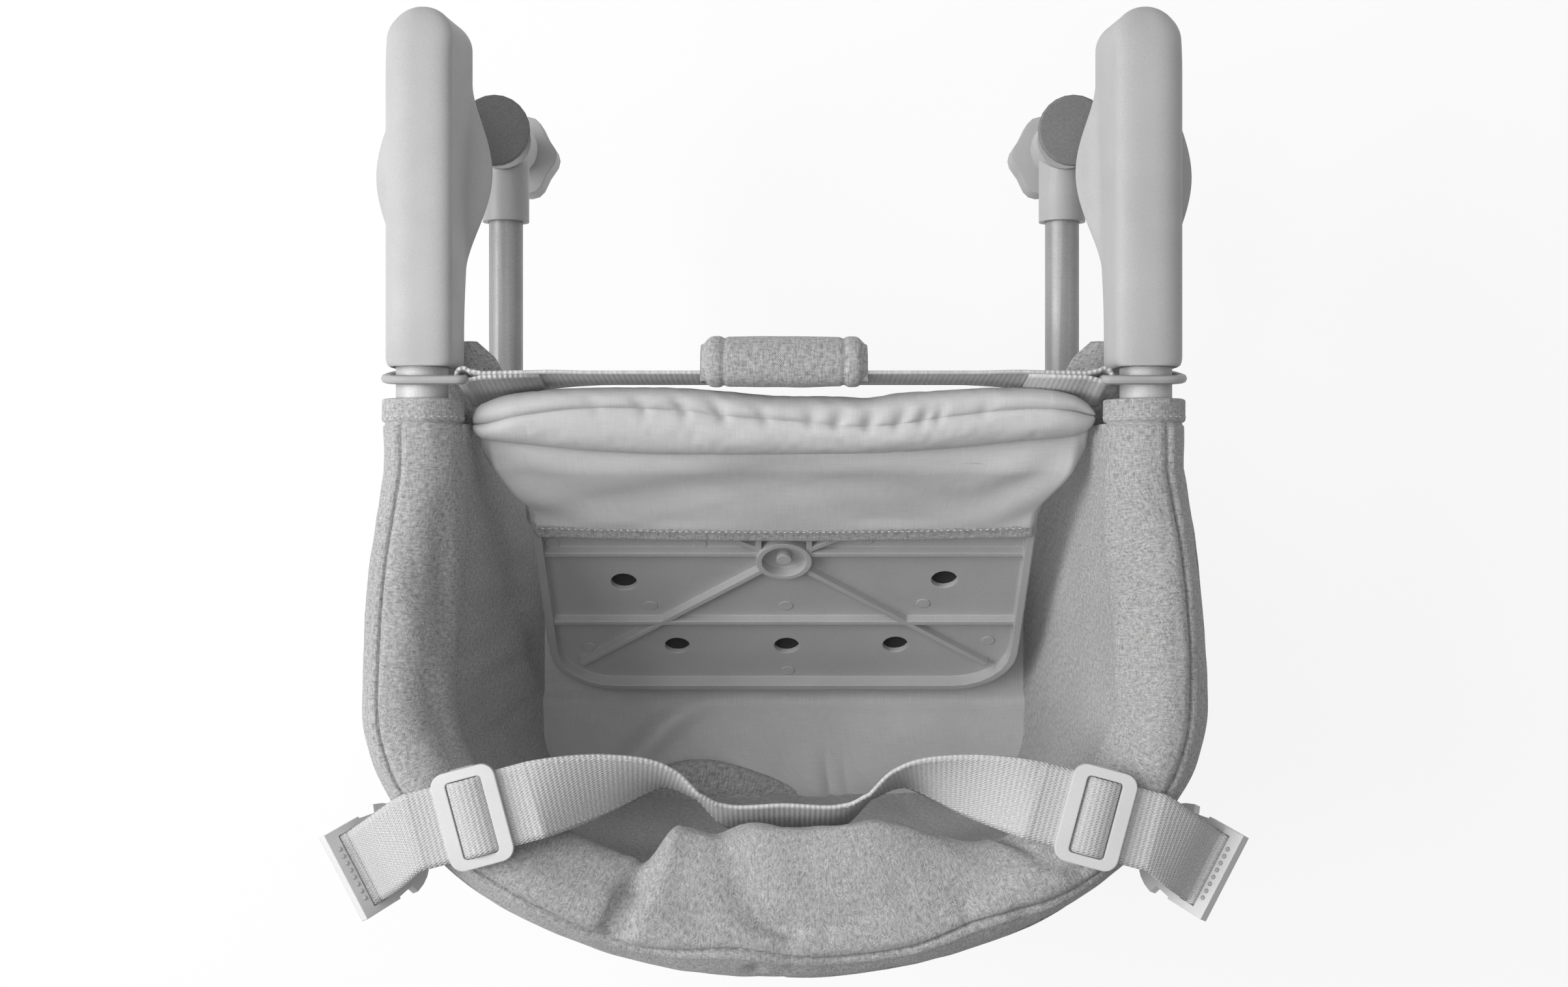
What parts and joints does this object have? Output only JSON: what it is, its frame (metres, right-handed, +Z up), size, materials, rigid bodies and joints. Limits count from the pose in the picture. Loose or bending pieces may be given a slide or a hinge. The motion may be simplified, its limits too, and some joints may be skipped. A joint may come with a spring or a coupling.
{
  "type": "hook on table chair",
  "caption": "Fabric baby seat on a bent tube frame that hooks onto a table edge, with arm grips on the top, screw clamps below and a folding ribbed seat base.",
  "frame": {"origin": "middle of the chair at the table edge, on the plane of the table top", "axes": "+X to the picture's right, +Y in over the table, +Z up towards the picture's camera"},
  "size_m": [0.4462, 0.466, 0.2016],
  "materials": {
    "frame_paint": "fine metallic paint",
    "zinc_steel": "zinc plated",
    "grip_plastic": "matte moulded",
    "pad_rubber": "matte rubber",
    "ring_plastic": "satin",
    "slider_plastic": "satin",
    "board_plastic": "satin moulded",
    "melange_canvas": "melange canvas weave",
    "lining": "smooth twill",
    "webbing": "ribbed webbing"
  },
  "bodies": {
    "frame": {"upper_frame_tube": "frame_paint", "arm_grip_left": "grip_plastic", "arm_grip_right": "grip_plastic", "grip_sole_left": "pad_rubber", "grip_sole_right": "pad_rubber", "pivot_bracket_left": "zinc_steel", "pivot_bracket_right": "zinc_steel", "pivot_pin_left": "zinc_steel", "pivot_pin_right": "zinc_steel", "strap_ring_left": "ring_plastic", "strap_ring_right": "ring_plastic", "front_strap": "webbing", "front_roll": "lining", "top_sleeve": "melange_canvas", "side_panel_left": "melange_canvas", "side_panel_right": "melange_canvas", "back_panel": "melange_canvas", "bottom_panel": "lining", "back_flap": "melange_canvas", "hinge_cover_left": "melange_canvas", "hinge_cover_right": "melange_canvas", "harness_strap": "webbing"},
    "seat_base": {"seat_board": "board_plastic", "base_pocket": "lining"},
    "crotch_pad": {"crotch_pad": "melange_canvas"},
    "lower_arm_left": {"lower_arm_left": "frame_paint", "clamp_nut_left": "grip_plastic"},
    "lower_arm_right": {"lower_arm_right": "frame_paint", "clamp_nut_right": "grip_plastic"},
    "clamp_pad_left": {"clamp_pad_left": "pad_rubber"},
    "clamp_pad_right": {"clamp_pad_right": "pad_rubber"},
    "clamp_screw_left": {"clamp_spindle_left": "zinc_steel", "clamp_knob_left": "grip_plastic"},
    "clamp_screw_right": {"clamp_spindle_right": "zinc_steel", "clamp_knob_right": "grip_plastic"},
    "slider_left": {"slider_left": "slider_plastic"},
    "slider_right": {"slider_right": "slider_plastic"},
    "buckle_left": {"buckle_left": "ring_plastic"},
    "buckle_right": {"buckle_right": "ring_plastic"}
  },
  "joints": [
    {"name": "base_fold", "type": "hinge", "parent": "frame", "child": "seat_base", "pos_m": [0, -0.182, -0.143], "axis": [1, 0, 0], "range_deg": [-49, 0]},
    {"name": "crotch_pad_slide", "type": "slide", "parent": "frame", "child": "crotch_pad", "axis": [1, 0, 0], "range_m": [-0.07, 0.07]},
    {"name": "lower_arm_fold_left", "type": "hinge", "parent": "frame", "child": "lower_arm_left", "pos_m": [-0.147, -0.022, -0.072], "axis": [1, 0, 0], "range_deg": [-90, 0]},
    {"name": "lower_arm_fold_right", "type": "hinge", "parent": "frame", "child": "lower_arm_right", "pos_m": [0.147, -0.022, -0.072], "axis": [1, 0, 0], "range_deg": [-90, 0]},
    {"name": "clamp_lift_left", "type": "slide", "parent": "lower_arm_left", "child": "clamp_pad_left", "axis": [0, 0, 1], "range_m": [-0.02, 0.013]},
    {"name": "clamp_lift_right", "type": "slide", "parent": "lower_arm_right", "child": "clamp_pad_right", "axis": [0, 0, 1], "range_m": [-0.02, 0.013]},
    {"name": "clamp_turn_left", "type": "hinge", "parent": "clamp_pad_left", "child": "clamp_screw_left", "pos_m": [-0.147, 0.108, -0.07], "axis": [0, 0, 1], "range_deg": [-1820, 1190]},
    {"name": "clamp_turn_right", "type": "hinge", "parent": "clamp_pad_right", "child": "clamp_screw_right", "pos_m": [0.147, 0.108, -0.07], "axis": [0, 0, 1], "range_deg": [-1820, 1190]},
    {"name": "slider_run_left", "type": "slide", "parent": "frame", "child": "slider_left", "axis": [-0.9659, -0.2588, 0], "range_m": [-0.008, 0.008]},
    {"name": "slider_run_right", "type": "slide", "parent": "frame", "child": "slider_right", "axis": [0.9659, -0.2588, 0], "range_m": [-0.008, 0.008]},
    {"name": "buckle_swing_left", "type": "hinge", "parent": "frame", "child": "buckle_left", "pos_m": [-0.2046, -0.2574, 0.0194], "axis": [0.46, -0.8879, 0], "range_deg": [-25, 28]},
    {"name": "buckle_swing_right", "type": "hinge", "parent": "frame", "child": "buckle_right", "pos_m": [0.2046, -0.2574, 0.0194], "axis": [-0.46, -0.8879, 0], "range_deg": [-28, 25]}
  ],
  "couplings": [
    {"joint": "clamp_turn_left", "follows": "clamp_lift_left", "rad_per_m": 1570.8},
    {"joint": "clamp_turn_right", "follows": "clamp_lift_right", "rad_per_m": 1570.8}
  ]
}
